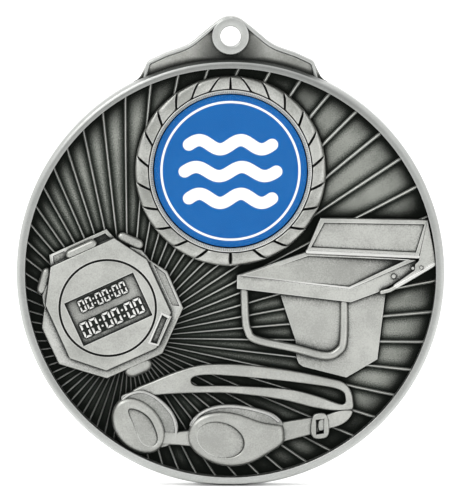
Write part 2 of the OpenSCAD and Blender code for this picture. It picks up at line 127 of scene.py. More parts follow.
def smooth(points, steps):
    """A smooth line from the second point to the last but one."""
    line = []
    for i in range(len(points) - 3):
        line += [curve_point(*points[i : i + 4], s / steps) for s in range(steps)]
    return line


def closed_curve(points, steps=6):
    """A smooth closed line through the points."""
    p = straight(points)
    return smooth([p[-1], *p, p[0], p[1]], steps)


def open_curve(points, steps=6):
    """A smooth open line through the points."""
    p = straight(points)
    return smooth([p[0], *p, p[-1]], steps) + [p[-1]]


def both_sides(half):
    """Right half of an outline, read upwards, and its mirror image."""
    left = [Vector((-x, y)) for x, y in reversed(half)]
    return straight(half) + left


def arc(at, radius, start, end, steps):
    """Points on a circle, with the angles in degrees."""
    line = []
    for i in range(steps + 1):
        angle = math.radians(start + (end - start) * i / steps)
        line.append(Vector(at) + radius * Vector((math.cos(angle), math.sin(angle))))
    return line


def circle(at, radius, steps=128):
    return arc(at, radius, 0, 360, steps)[:-1]


def ellipse(at, axes, tilt, steps=72):
    turn = Matrix.Rotation(math.radians(tilt), 2)
    flat = [Vector((axes[0] * p.x, axes[1] * p.y)) for p in circle((0, 0), 1, steps)]
    return [Vector(at) + turn @ p for p in flat]


def rounded_bar(size, steps=8):
    """Outline of a level bar with round ends."""
    end_r = size[1] / 2
    reach = size[0] / 2 - end_r
    right = arc((reach, 0), end_r, -90, 90, steps)
    left = arc((-reach, 0), end_r, 90, 270, steps)
    return right + left


def rounded_box(size, corner_r, steps=5):
    """Outline of a box with rounded corners."""
    reach_x = size[0] / 2 - corner_r
    reach_y = size[1] / 2 - corner_r
    line = []
    for turn, side_x, side_y in ((0, 1, 1), (90, -1, 1), (180, -1, -1), (270, 1, -1)):
        line += arc((side_x * reach_x, side_y * reach_y), corner_r, turn, turn + 90, steps)
    return line


def swollen(outline, distance):
    """A closed outline, read anticlockwise or clockwise, grown outwards by a distance."""
    middle = sum(outline, Vector((0, 0))) / len(outline)
    line = []
    for i, point in enumerate(outline):
        run = outline[(i + 1) % len(outline)] - outline[i - 1]
        out = Vector((run.y, -run.x)).normalized()
        if out.dot(point - middle) < 0:
            out = -out
        line.append(point + distance * out)
    return line


def mirrored(points):
    return [Vector((-p.x, p.y)) for p in reversed(points)]


def beside(path, distance):
    """A line beside a path, on its left."""
    line = []
    for i, point in enumerate(path):
        run = path[min(i + 1, len(path) - 1)] - path[max(i - 1, 0)]
        line.append(point + distance * Vector((-run.y, run.x)).normalized())
    return line


def bar_along(path, width, steps=6):
    """Outline of a bar of one width along a path, with round ends."""
    half = width / 2
    left = beside(path, half)
    right = beside(path, -half)
    start_run = path[0] - path[1]
    end_run = path[-1] - path[-2]
    start_turn = math.degrees(math.atan2(start_run.y, start_run.x))
    end_turn = math.degrees(math.atan2(end_run.y, end_run.x))
    start_cap = arc(path[0], half, start_turn - 90, start_turn + 90, steps)[1:-1]
    end_cap = arc(path[-1], half, end_turn - 90, end_turn + 90, steps)[1:-1]
    return right + end_cap + left[::-1] + start_cap


def placed(points, at, turn=0):
    """Points turned about the origin, then moved."""
    spin = Matrix.Rotation(math.radians(turn), 2)
    return [Vector(at) + spin @ Vector(point) for point in points]


# ---- Shapes ----


def ring_edges(bm, points, height):
    verts = [bm.verts.new((p.x, p.y, height)) for p in points]
    return [bm.edges.new((verts[i - 1], verts[i])) for i in range(len(verts))]


def make_solid(bm, base):
    """Gives a sheet its walls and its flat underside."""
    sheet = bm.faces[:] + bm.edges[:] + bm.verts[:]
    under = bm.verts[:]
    bmesh.ops.extrude_face_region(bm, geom=sheet, use_keep_orig=True)
    for vert in under:
        vert.co.z = base
    bmesh.ops.recalc_face_normals(bm, faces=bm.faces)


def round_edges(bm, edges, width, steps, slide=True):
    if edges and width > 0:
        bmesh.ops.bevel(
            bm,
            geom=edges, offset=width, offset_type="OFFSET", segments=steps, profile=0.5,
            affect="EDGES", clamp_overlap=False, loop_slide=slide, material=-1,
        )


def shoulder_edges(bm, base, sharp=25):
    """Edges above the base where two faces meet at an angle."""
    found = []
    for edge in bm.edges:
        above = min(v.co.z for v in edge.verts) > base + 0.01
        if above and len(edge.link_faces) == 2:
            if edge.calc_face_angle(0) > math.radians(sharp):
                found.append(edge)
    return found


def key(point):
    """A place on the face, rounded, to find the same place again."""
    return (round(point.x, 3), round(point.y, 3))


def relief(outline, top, shoulder=0.2, steps=3, holes=(), hole_shoulder=0.12, base=buried):
    """A flat raised shape with rounded shoulders."""
    bm = bmesh.new()
    edges = ring_edges(bm, outline, top)
    for hole in holes:
        edges += ring_edges(bm, hole, top)
    if holes:
        bmesh.ops.triangle_fill(bm, use_beauty=True, edges=edges, normal=(0, 0, 1))
    else:
        bm.faces.new(bm.verts)
    make_solid(bm, base)
    inner = {key(point) for hole in holes for point in hole}
    level = [e for e in shoulder_edges(bm, base) if abs(e.verts[0].co.z - e.verts[1].co.z) < 0.001]
    hole_edges = [e for e in level if all(key(v.co) in inner for v in e.verts)]
    outer_edges = [e for e in level if e not in hole_edges]
    round_edges(bm, outer_edges, shoulder, steps, not holes)
    hole_edges = [e for e in hole_edges if e.is_valid]
    round_edges(bm, hole_edges, hole_shoulder, 3, False)
    return bm


def facets(faces, shoulder):
    """Sloping faces that meet at edges, each point as (x, y, height)."""
    bm = bmesh.new()
    for face in faces:
        bm.faces.new([bm.verts.new(point) for point in face])
    bmesh.ops.remove_doubles(bm, verts=bm.verts, dist=0.01)
    make_solid(bm, buried)
    edges = [e for e in shoulder_edges(bm, buried, 4) if not is_upright(e)]
    round_edges(bm, edges, shoulder, 2)
    return bm


def sloped(bm, start, end, fall):
    """Lets the upper side of a shape fall steadily from one place to another."""
    run = Vector(end) - Vector(start)
    for vert in bm.verts:
        if vert.co.z > buried + 0.01:
            along = (Vector((vert.co.x, vert.co.y)) - Vector(start)).dot(run) / run.length_squared
            vert.co.z -= fall * along


def is_upright(edge):
    run = edge.verts[0].co - edge.verts[1].co
    return abs(run.z) > 3 * math.hypot(run.x, run.y)


def turned_shape(profile, steps, at=(0, 0)):
    """A profile of (radius, height) points turned about the upright axis through a place."""
    bm = bmesh.new()
    verts = [bm.verts.new((r, 0, h)) for r, h in profile]
    edges = [bm.edges.new((verts[i], verts[i + 1])) for i in range(len(verts) - 1)]
    bmesh.ops.spin(
        bm, geom=verts + edges, cent=(0, 0, 0), axis=(0, 0, 1), angle=math.tau, steps=steps,
        use_merge=True,
    )
    bmesh.ops.remove_doubles(bm, verts=bm.verts, dist=0.0005)
    bmesh.ops.recalc_face_normals(bm, faces=bm.faces)
    bmesh.ops.translate(bm, vec=(at[0], at[1], 0), verts=bm.verts)
    return bm


def rounded_profile(corners, closed=True, steps=4):
    """A profile whose corners, each as (radius, height, round), are rounded."""
    points = []
    n = len(corners)
    for i, (r, h, rounding) in enumerate(corners):
        here = Vector((r, h))
        if rounding == 0:
            points.append(here)
            continue
        before = Vector(corners[i - 1][:2]) - here
        after = Vector(corners[(i + 1) % n][:2]) - here
        start = here + before.normalized() * rounding
        end = here + after.normalized() * rounding
        for s in range(steps + 1):
            t = s / steps
            points.append(start * (1 - t) ** 2 + here * 2 * t * (1 - t) + end * t * t)
    if closed:
        points.append(points[0])
    return points


def joined(shells):
    """Puts several shapes into one piece."""
    whole = bmesh.new()
    for shell in shells:
        part, material_index = shell if isinstance(shell, tuple) else (shell, 0)
        for face in part.faces:
            face.material_index = material_index
        mesh = bpy.data.meshes.new("shell")
        part.to_mesh(mesh)
        part.free()
        whole.from_mesh(mesh)
        bpy.data.meshes.remove(mesh)
    return whole


def piece(name, bm, materials, nodes, crease=40):
    """Stands a shape upright in the frame and puts it in place of its nodes."""
    bmesh.ops.transform(bm, matrix=UPRIGHT, verts=bm.verts)
    mesh = bpy.data.meshes.new(name)
    bm.to_mesh(mesh)
    bm.free()
    mesh.shade_smooth()
    mesh.set_sharp_from_angle(angle=math.radians(crease))
    for material in materials if isinstance(materials, list) else [materials]:
        mesh.materials.append(material)
    made = bpy.data.objects.new(name, mesh)
    bpy.context.scene.collection.objects.link(made)
    flat_normals = made.modifiers.new("flat faces stay flat", "WEIGHTED_NORMAL")
    flat_normals.keep_sharp = True
    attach(made, "root")
    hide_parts(*nodes)


def casting(node, bm, materials=None, crease=40):
    """A feature of the cast body, in place of the node of that name, in relief silver unless told."""
    piece("cast_" + node, bm, materials or silver_relief, [node], crease)


# ---- Finishes ----


def start_material(name):
    material = bpy.data.materials.new(name)
    material.use_nodes = True
    tree = material.node_tree
    return material, tree, tree.nodes["Principled BSDF"]


def maths(tree, operation, first, second=0.0):
    """A Math node; each input is a socket or a number."""
    node = tree.nodes.new("ShaderNodeMath")
    node.operation = operation
    for socket, value in zip(node.inputs, (first, second)):
        if isinstance(value, (int, float)):
            socket.default_value = value
        else:
            tree.links.new(value, socket)
    return node.outputs[0]


def spread(tree, value, low, high, to_low, to_high, soft=True):
    """Maps a value from one range to another, held at its ends."""
    node = tree.nodes.new("ShaderNodeMapRange")
    node.interpolation_type = "SMOOTHSTEP" if soft else "LINEAR"
    node.clamp = True
    tree.links.new(value, node.inputs["Value"])
    node.inputs["From Min"].default_value = low
    node.inputs["From Max"].default_value = high
    node.inputs["To Min"].default_value = to_low
    node.inputs["To Max"].default_value = to_high
    return node.outputs["Result"]


def varied(tree, noise, low, high):
    """Turns a noise into values between two others, over the range that most of it fills."""
    return spread(tree, noise, 0.3, 0.7, low, high, False)


def blend_colours(tree, factor, first, second):
    node = tree.nodes.new("ShaderNodeMix")
    node.data_type = "RGBA"
    tree.links.new(factor, node.inputs["Factor"])
    for socket, colour in ((node.inputs["A"], first), (node.inputs["B"], second)):
        if isinstance(colour, tuple):
            socket.default_value = (*colour, 1)
        else:
            tree.links.new(colour, socket)
    return node.outputs["Result"]


def place_on_piece(tree):
    return tree.nodes.new("ShaderNodeTexCoord").outputs["Object"]


def grain(tree, place, per_mm, detail=3, roughness=0.6, stretch=None):
    """Noise with so many grains to the millimetre."""
    if stretch:
        mapping = tree.nodes.new("ShaderNodeMapping")
        mapping.inputs["Scale"].default_value = stretch
        tree.links.new(place, mapping.inputs["Vector"])
        place = mapping.outputs["Vector"]
    node = tree.nodes.new("ShaderNodeTexNoise")
    node.inputs["Scale"].default_value = per_mm / MM
    node.inputs["Detail"].default_value = detail
    node.inputs["Roughness"].default_value = roughness
    tree.links.new(place, node.inputs["Vector"])
    return node.outputs["Fac"]


def openness(tree, reach_mm, inside=False):
    """1 on open faces, falling to 0 in corners narrower than the reach."""
    node = tree.nodes.new("ShaderNodeAmbientOcclusion")
    node.samples = 12
    node.inside = inside
    node.only_local = inside
    node.inputs["Distance"].default_value = reach_mm * MM
    return node.outputs["AO"]


def bumps(tree, shader, height, depth_mm, strength, under=None):
    node = tree.nodes.new("ShaderNodeBump")
    node.inputs["Strength"].default_value = strength
    node.inputs["Distance"].default_value = depth_mm * MM
    tree.links.new(height, node.inputs["Height"])
    if under is not None:
        tree.links.new(under, node.inputs["Normal"])
    tree.links.new(node.outputs["Normal"], shader.inputs["Normal"])
    return node.outputs["Normal"]


def seen_from(tree, place, at):
    """A place as it lies from another one on the face."""
    shift = tree.nodes.new("ShaderNodeMapping")
    shift.inputs["Location"].default_value = -Vector((disc_at.x + at[0] * MM, 0, disc_at.y + at[1] * MM))
    tree.links.new(place, shift.inputs["Vector"])
    return shift.outputs["Vector"]


def across(tree, place, start, end):
    """0 at one place of the face, 1 at another, steady between them."""
    run = (Vector(end) - Vector(start)) * MM
    along = tree.nodes.new("ShaderNodeVectorMath")
    along.operation = "DOT_PRODUCT"
    along.inputs[1].default_value = Vector((run.x, 0, run.y)) / run.length_squared
    tree.links.new(seen_from(tree, place, start), along.inputs[0])
    return along.outputs["Value"]


def away_from(tree, place, at):
    """Distance from a place on the face, and the two parts of it."""
    parts = tree.nodes.new("ShaderNodeSeparateXYZ")
    tree.links.new(seen_from(tree, place, at), parts.inputs["Vector"])
    x, z = parts.outputs["X"], parts.outputs["Z"]
    squares = maths(tree, "ADD", maths(tree, "MULTIPLY", x, x), maths(tree, "MULTIPLY", z, z))
    return maths(tree, "SQRT", squares), x, z


def raised_side(tree, place):
    """1 on what stands out in front, 0 on the back."""
    parts = tree.nodes.new("ShaderNodeSeparateXYZ")
    tree.links.new(place, parts.inputs["Vector"])
    return spread(tree, parts.outputs["Y"], -2.0 * MM, -1.2 * MM, 1, 0)


# Near-black of the patina in the corners, also used for the painted shade that the dimming masks lay on
# some finishes.
BLACKENING_AND_PAINTED_SHADE = (0.006, 0.008, 0.006)
RUBBED_EDGE = (0.78, 0.78, 0.76)
EDGE_REACH = 0.22


def antique_silver(name, bright, dull, reach, dark_from, dark_to, shine, cloud=0.35, dimmed=None, worn=0.5):
    """Silver plate, blackened in the corners and rubbed bright on the faces and edges."""
    material, tree, shader = start_material(name)
    place = place_on_piece(tree)
    clouds = grain(tree, place, 0.18, 4)
    fine = grain(tree, place, 4.5, 4, 0.7)
    scratches = grain(tree, place, 1.1, 3, 0.7, (1, 1, 7))
    open_part = openness(tree, reach)
    cloud_shift = varied(tree, clouds, -0.5 * cloud, 0.5 * cloud)
    grain_shift = varied(tree, fine, -0.07, 0.07)
    shifted = maths(tree, "ADD", open_part, grain_shift)
    rubbed = spread(tree, shifted, dark_from, dark_to, 0, 1)
    tone = maths(tree, "ADD", spread(tree, clouds, 0.25, 0.75, 0, 1, False), cloud_shift)
    tone = maths(tree, "ADD", tone, varied(tree, fine, -0.6, 0.6))
    metal = blend_colours(tree, tone, dull, bright)
    worn_edge = spread(tree, openness(tree, EDGE_REACH, True), 0.55, 0.95, worn, 0, False)
    metal = blend_colours(tree, worn_edge, metal, RUBBED_EDGE)
    colour = blend_colours(tree, rubbed, BLACKENING_AND_PAINTED_SHADE, metal)
    # dimmed darkens the colour towards the near-black: painted shade on the rim, the tread and the hanger,
    # and a darker middle of the rays on the ribs.
    if dimmed:
        colour = blend_colours(tree, dimmed(tree, place), colour, BLACKENING_AND_PAINTED_SHADE)
    tree.links.new(colour, shader.inputs["Base Color"])
    polish = varied(tree, scratches, shine - 0.06, shine + 0.08)
    rough = maths(tree, "ADD", polish, spread(tree, rubbed, 0, 1, 0.25, 0, False))
    tree.links.new(rough, shader.inputs["Roughness"])
    tree.links.new(spread(tree, rubbed, 0, 1, 0.35, 1, False), shader.inputs["Metallic"])
    under = bumps(tree, shader, scratches, 0.012, 0.5)
    bumps(tree, shader, fine, 0.02, 0.6, under)
    return material


RAY_FROM = Vector((-16.8, -10.8))
RAY_COUNT = 63
RAY_START = 90.6
RAY_STEP = 360 / RAY_COUNT


def dim_near_middle(tree, place):
    """The ribs are darker towards the middle of the rays, where they run together."""
    far = away_from(tree, place, RAY_FROM)[0]
    return spread(tree, far, 5 * MM, 22 * MM, 0.65, 0.05)


def rim_painted_shade(tree, place):
    """Painted shade on the rim: its flat is darkened except at its foot, more so near the top, and its
    slope is darkened along the hanger, partly patina and partly painted shadow.
    """
    far, _, z = away_from(tree, place, (0, 0))
    slope = spread(tree, far, (field_r + 0.95) * MM, (field_r + 1.1) * MM, 0, 0.9)
    beside_hanger = spread(tree, z, 31.0 * MM, 32.6 * MM, 0, 1)
    corner = maths(tree, "MULTIPLY", slope, beside_hanger)
    # Painted shade on the flat: darker away from its foot, and darker again near the top.
    low = spread(tree, z, -34 * MM, -20 * MM, 0, 0.34)
    high = spread(tree, z, 12 * MM, 34 * MM, 0, 0.14)
    flat = spread(tree, far, (field_r + 0.6) * MM, (field_r + 1.15) * MM, 1, 0.1)
    shaded_flat = maths(tree, "MULTIPLY", maths(tree, "ADD", low, high), flat)
    dimmed = maths(tree, "MAXIMUM", corner, shaded_flat)
    return maths(tree, "MULTIPLY", dimmed, raised_side(tree, place))


def tread_painted_shade(tree, place):
    """Painted shade on the tread: it darkens steadily towards its back."""
    return spread(tree, across(tree, place, (12, -1.5), (24, 3.4)), 0.1, 1, 0, 0.14, False)


def hanger_painted_shade(tree, place):
    """Painted shade on the hanger: darker towards its right, away from the light on the left, and darker
    along the rim and under the eyelet, partly patina in the joints and partly painted shadow.
    """
    right = spread(tree, across(tree, place, (-12, 34), (12, 34)), 0, 1, 0, 0.3, False)
    below_eyelet = spread(tree, away_from(tree, place, (0, 35.4))[0], 2.5 * MM, 8 * MM, 0.8, 0)
    along_rim = spread(tree, away_from(tree, place, (0, 0))[0], 35.0 * MM, 36.3 * MM, 0.92, 0)
    dimmed = maths(tree, "MAXIMUM", maths(tree, "MAXIMUM", right, below_eyelet), along_rim)
    return maths(tree, "MULTIPLY", dimmed, raised_side(tree, place))


silver_relief = antique_silver(
    "rubbed silver relief", (0.43, 0.435, 0.41), (0.325, 0.33, 0.31), 2.0, 0.6, 0.97, 0.4
)
# A darker copy of the relief silver for the gaskets, which sit low behind the cups: painted shade.
silver_shaded = antique_silver(
    "shaded silver relief", (0.37, 0.375, 0.355), (0.25, 0.255, 0.24), 2.2, 0.55, 0.98, 0.44
)
# The tread's colour carries painted shade, darker towards its back.
silver_tread = antique_silver(
    "tread silver", (0.42, 0.425, 0.4), (0.31, 0.315, 0.295), 1.7, 0.6, 1.0, 0.44, 0.2, tread_painted_shade
)
# A darker copy of the relief silver for the sunk display floor: painted shade.
silver_display = antique_silver(
    "display silver", (0.34, 0.345, 0.325), (0.24, 0.245, 0.23), 1.2, 0.7, 1.0, 0.46, worn=0
)
digit_ground = antique_silver(
    "blackened digit ground", (0.03, 0.034, 0.03), (0.012, 0.015, 0.012), 1.2, 0.5, 1.0, 0.5, worn=0
)
silver_digits = antique_silver(
    "digit silver", (0.66, 0.665, 0.64), (0.56, 0.565, 0.54), 0.3, 0.1, 0.5, 0.36
)
# The rim's colour carries painted shade, darkest near the top and along the hanger.
silver_rim = antique_silver(
    "polished rim silver", (0.47, 0.48, 0.465), (0.4, 0.41, 0.395), 0.8, 0.2, 0.6, 0.36, 0.1, rim_painted_shade
)
silver_eyelet = antique_silver(
    "eyelet silver", (0.42, 0.43, 0.415), (0.36, 0.37, 0.355), 0.8, 0.25, 0.7, 0.34, worn=0.3
)
silver_reeds = antique_silver(
    "reeded silver", (0.5, 0.505, 0.48), (0.4, 0.405, 0.38), 0.7, 0.35, 0.8, 0.4
)
silver_leaves = antique_silver(
    "leaf silver", (0.44, 0.445, 0.42), (0.28, 0.285, 0.265), 1.3, 0.5, 0.95, 0.4, 0.6
)
# The hanger's colour carries painted shade, darker on its right, along the rim and under the eyelet.
silver_hanger = antique_silver(
    "hanger silver", (0.42, 0.425, 0.4), (0.32, 0.325, 0.3), 1.4, 0.36, 0.82, 0.42, 0.6, hanger_painted_shade
)
silver_ribs = antique_silver(
    "rib silver", (0.42, 0.43, 0.4), (0.3, 0.31, 0.29), 1.2, 0.35, 0.8, 0.42, 0.35, dim_near_middle
)


def blackened_field():
    """Dark field, rubbed grey along the middle of the wide panels between the ribs."""
    material, tree, shader = start_material("blackened field")
    place = place_on_piece(tree)
    far, x, z = away_from(tree, place, RAY_FROM)
    turn = maths(tree, "SUBTRACT", maths(tree, "ARCTAN2", z, x), math.radians(RAY_START) - math.tau)
    panel = maths(tree, "FRACT", maths(tree, "MULTIPLY", turn, RAY_COUNT / math.tau))
    off_middle = maths(tree, "ABSOLUTE", maths(tree, "SUBTRACT", panel, 0.5))
    to_rib = maths(tree, "SUBTRACT", 0.5, off_middle)
    rib_gap = maths(tree, "MULTIPLY", far, math.radians(RAY_STEP) / MM)
    rib_gap = maths(tree, "MULTIPLY", rib_gap, to_rib)
    clouds = grain(tree, place, 0.25, 4)
    fine = grain(tree, place, 5.0, 3, 0.7)
    wobble = varied(tree, fine, -0.25, 0.25)
    rib_gap = maths(tree, "ADD", rib_gap, wobble)
    rubbed = spread(tree, rib_gap, 0.35, 1.7, 0, 1)
    # Near the reliefs the field is darkened within a reach of 4.6 mm: patina in the corners, and further
    # out painted shade beside the taller reliefs.
    open_part = spread(tree, openness(tree, 4.6), 0.62, 1.0, 0, 1)
    rubbed = maths(tree, "MULTIPLY", rubbed, open_part)
    rubbed = maths(tree, "MULTIPLY", rubbed, varied(tree, clouds, 0.75, 1.15))
    rubbed = maths(tree, "MULTIPLY", rubbed, varied(tree, fine, 0.5, 1.5))
    dark = blend_colours(tree, open_part, (0.002, 0.0032, 0.002), (0.015, 0.019, 0.015))
    colour = blend_colours(tree, rubbed, dark, (0.26, 0.27, 0.245))
    tree.links.new(colour, shader.inputs["Base Color"])
    tree.links.new(varied(tree, fine, 0.42, 0.58), shader.inputs["Roughness"])
    shader.inputs["Metallic"].default_value = 0.9
    bumps(tree, shader, fine, 0.035, 0.8)
    return material


field_black = blackened_field()


silver_border = antique_silver(
    "back border silver", (0.46, 0.465, 0.45), (0.4, 0.405, 0.39), 0.8, 0.35, 0.8, 0.36, 0.1
)


def stippled_back():
    """Sunk part of the back, finely stippled, darker in the hollows of the stipple."""
    material, tree, shader = start_material("stippled back")
    place = place_on_piece(tree)
    far = away_from(tree, place, (0, 0))[0]
    cells = tree.nodes.new("ShaderNodeTexVoronoi")
    cells.inputs["Scale"].default_value = 2.6 / MM
    tree.links.new(place, cells.inputs["Vector"])
    fine = grain(tree, place, 4.5, 3)
    clouds = grain(tree, place, 0.12, 3)
    dot = spread(tree, cells.outputs["Distance"], 0.1, 0.65, 1, 0)
    tone = maths(tree, "ADD", dot, varied(tree, clouds, -0.15, 0.15))
    metal = blend_colours(tree, tone, (0.27, 0.275, 0.26), (0.36, 0.365, 0.35))
    edge = spread(tree, far, (border_r - 1.4) * MM, border_r * MM, 0, 0.75)
    tree.links.new(blend_colours(tree, edge, metal, (0.03, 0.034, 0.03)), shader.inputs["Base Color"])
    shader.inputs["Metallic"].default_value = 1.0
    tree.links.new(varied(tree, fine, 0.4, 0.55), shader.inputs["Roughness"])
    under = bumps(tree, shader, dot, 0.05, 0.7)
    bumps(tree, shader, fine, 0.02, 0.5, under)
    return material


def print_ink(name, colour, deep):
    """Screen print: an even ink with a faint mottle and dot grain."""
    material, tree, shader = start_material(name)
    place = place_on_piece(tree)
    mottle = grain(tree, place, 0.5, 3)
    dots = grain(tree, place, 6.0, 2)
    ink = blend_colours(tree, varied(tree, mottle, 0, 1), deep, colour)
    tree.links.new(ink, shader.inputs["Base Color"])
    tree.links.new(varied(tree, dots, 0.42, 0.55), shader.inputs["Roughness"])
    bumps(tree, shader, dots, 0.004, 0.3)
    shader.inputs["Specular IOR Level"].default_value = 0.15
    return material


blue_ink = print_ink("printed blue", (0.004, 0.118, 0.39), (0.002, 0.106, 0.365))
white_ink = print_ink("printed white", (0.94, 0.95, 0.94), (0.9, 0.91, 0.9))


def clear_film():
    """Clear laminate over the print."""
    material, tree, shader = start_material("clear film")
    place = place_on_piece(tree)
    haze = grain(tree, place, 1.2, 3)
    shader.inputs["Base Color"].default_value = (0.02, 0.04, 0.08, 1)
    shader.inputs["Alpha"].default_value = 0.06
    shader.inputs["Specular IOR Level"].default_value = 0.3
    shader.inputs["IOR"].default_value = 1.45
    tree.links.new(varied(tree, haze, 0.1, 0.2), shader.inputs["Roughness"])
    bumps(tree, shader, haze, 0.003, 0.2)
    return material


film_clear = clear_film()


def adhesive():
    """White foam adhesive behind the printed disc."""
    material, tree, shader = start_material("adhesive foam")
    place = place_on_piece(tree)
    cells = grain(tree, place, 5.0, 2)
    tone = varied(tree, cells, 0, 1)
    foam = blend_colours(tree, tone, (0.7, 0.7, 0.68), (0.85, 0.85, 0.83))
    tree.links.new(foam, shader.inputs["Base Color"])
    tree.links.new(varied(tree, cells, 0.6, 0.8), shader.inputs["Roughness"])
    bumps(tree, shader, cells, 0.02, 0.5)
    return material


pad_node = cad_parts["insert_pad"]
pad_node.data.materials.clear()
pad_node.data.materials.append(adhesive())

# ---- Disc ----

plate = turned_shape(
    rounded_profile(
        [
            (0, 0.3, 0),
            (border_r - 0.2, 0.3, 0.15),
            (border_r, 0, 0.1),
            (field_r + 0.05, 0, 0),
            (field_r + 0.05, field_top, 0),
            (0, field_top, 0),
        ],
        closed=False,
    ),
    192,
)
for face in plate.faces:
    middle = face.calc_center_median()
    if face.normal.z < 0.5:
        face.material_index = 1
    if face.normal.z < -0.9 and middle.z > 0.2:
        face.material_index = 2
casting("field_disc", plate, [field_black, silver_border, stippled_back()])

rim_profile = rounded_profile(
    [
        (field_r, buried, 0),
        (field_r, rim_top, 0.1),
        (field_r + 0.6, rim_top, 0.12),
        (field_r + 1.05, rim_top - 0.22, 0.1),
        (disc_r, rim_top - 0.85, 0.16),
        (disc_r, 0.3, 0.12),
        (disc_r - 0.3, 0, 0.12),
        (field_r + 0.05, 0, 0),
        (field_r + 0.05, buried, 0),
    ]
)
casting("rim", turned_shape(rim_profile, 256), silver_rim)

# ---- Rays ----


def ray_length(angle, to_r):
    """How far it is from the middle of the rays to a circle round the disc's centre."""
    run = Vector((math.cos(angle), math.sin(angle)))
    along = RAY_FROM.dot(run)
    return math.sqrt(along * along - RAY_FROM.length_squared + to_r * to_r) - along


def one_rib(angle):
    """A rib with a rounded crest that widens towards the rim."""
    length = ray_length(angle, field_r + 0.1)
    start = 4.0
    near_half = 0.12
    far_half = near_half + 0.0045 * length
    crest = [(-1, -0.2), (-0.85, 0.12), (-0.4, 0.29), (0, 0.33)]
    crest += [(0.4, 0.29), (0.85, 0.12), (1, -0.2)]
    bm = bmesh.new()
    end = bm.faces.new([bm.verts.new((start, near_half * y, z)) for y, z in crest])
    made = bmesh.ops.extrude_face_region(bm, geom=[end])
    grown = [v for v in made["geom"] if isinstance(v, bmesh.types.BMVert)]
    bmesh.ops.translate(bm, vec=(length - start, 0, 0), verts=grown)
    bmesh.ops.scale(bm, vec=(1, far_half / near_half, 1), verts=grown)
    bmesh.ops.recalc_face_normals(bm, faces=bm.faces)
    bmesh.ops.rotate(bm, matrix=Matrix.Rotation(angle, 3, "Z"), verts=bm.verts)
    bmesh.ops.translate(bm, vec=(RAY_FROM.x, RAY_FROM.y, field_top), verts=bm.verts)
    return bm


rib_angles = [math.radians(RAY_START + RAY_STEP * k) for k in range(RAY_COUNT)]
ribs = joined([one_rib(angle) for angle in rib_angles])
casting("rays", ribs, silver_ribs, 50)

# ---- Hanger ----

crown_r = eyelet_r + 0.25
plate_top = front("hanger_plate")


def hanger_flank():
    """Edge of the hanger on the right, from its shoulder up to its crown."""
    corner = arc((12.7, 33.75), 1.15, 12, 65, 6)
    hollow = [(10.6, 36.0), (7.8, 36.97), (6.3, 37.8), (4.9, 38.95), (3.3, 40.28)]
    crown = arc(hole_at, crown_r, 52, 88, 8)
    return corner + open_curve(hollow, 4) + crown


under_rim = arc((0, 0), disc_r - 0.25, 89, 63, 16)
foot = straight([(15.9, 31.2), (15.2, 31.6), (14.75, 32.1), (14.45, 32.7)])
hanger_outline = both_sides(under_rim + foot + hanger_flank())
eyelet_seat = circle(hole_at, eyelet_r - 0.05, 64)
edge_w = 0.66
edge_line = beside(straight([(14.5, 31.0), (14.17, 32.6)]) + hanger_flank(), edge_w / 2 + 0.04)
hanger_edge = bar_along(edge_line, edge_w)
edge_top = front("hanger_edge")
edge_shells = []
for line in (hanger_edge, mirrored(hanger_edge)):
    edge_shells.append((relief(line, edge_top, 0.28, 5, base=1.2), 1))
hanger = joined([relief(hanger_outline, plate_top, 0.14, 3, [eyelet_seat], 0, base=0)] + edge_shells)
hanger_metals = [silver_hanger, silver_eyelet]
piece("cast_hanger", hanger, hanger_metals, ["hanger_plate", "hanger_edge"])

eyelet_top = front("eyelet")
eyelet = turned_shape(
    rounded_profile(
        [(hole_r, 0, 0.15), (hole_r, eyelet_top, 0.3), (eyelet_r, eyelet_top, 0.28), (eyelet_r, 0, 0.1)]
    ),
    96,
    hole_at,
)
casting("eyelet", eyelet, silver_eyelet)

# ---- Collar ----


def reeded_ring():
    """Inner ring that slopes to the printed disc, with fine reeding on the slope."""
    top = front("collar_bead_ring") + 0.45
    reeds = 260
    reed_depth = 0.15
    slope_w = 0.45
    profile = rounded_profile(
        [
            (seat_r, buried, 0),
            (seat_r, top - 0.28, 0.04),
            (seat_r + slope_w, top, 0.08),
            (bead_r - 0.06, top, 0.08),
            (bead_r - 0.06, buried, 0),
        ]
    )
    ring = turned_shape(profile, 2 * reeds)
    for vert in ring.verts:
        radius = math.hypot(vert.co.x, vert.co.y)
        step = round(math.atan2(vert.co.y, vert.co.x) / math.tau * 2 * reeds)
        if step % 2 and radius < seat_r + slope_w + 0.02 and vert.co.z > field_top:
            vert.co.z -= reed_depth
    bmesh.ops.translate(ring, vec=(insert_at.x, insert_at.y, 0), verts=ring.verts)
    return ring


casting("collar_bead_ring", reeded_ring(), silver_reeds, crease=60)

LEAVES = 12
cut_outer_ends = [0, 5.5, 19, 34, 50, 64.5, 80.5, 96.5, 112, 127.5, 142.5, 157.5, 180]
cut_sweeps = [0, 9, 9, 7, 6, 7, 6, 6.5, 5.5, 5.5, 5.5, 6, 0]
leaf_columns = [0, 0.018, 0.04, 0.075, 0.25, 0.5, 0.75, 0.925, 0.96, 0.982]
cut_depths = [1, 0.85, 0.25, 0.03, 0, 0, 0, 0.03, 0.25, 0.85]


def cut_angle(number, inward):
    """Where a cut lies on one side, in degrees from the top, from its outer to its inner end."""
    return cut_outer_ends[number] + cut_sweeps[number] * inward


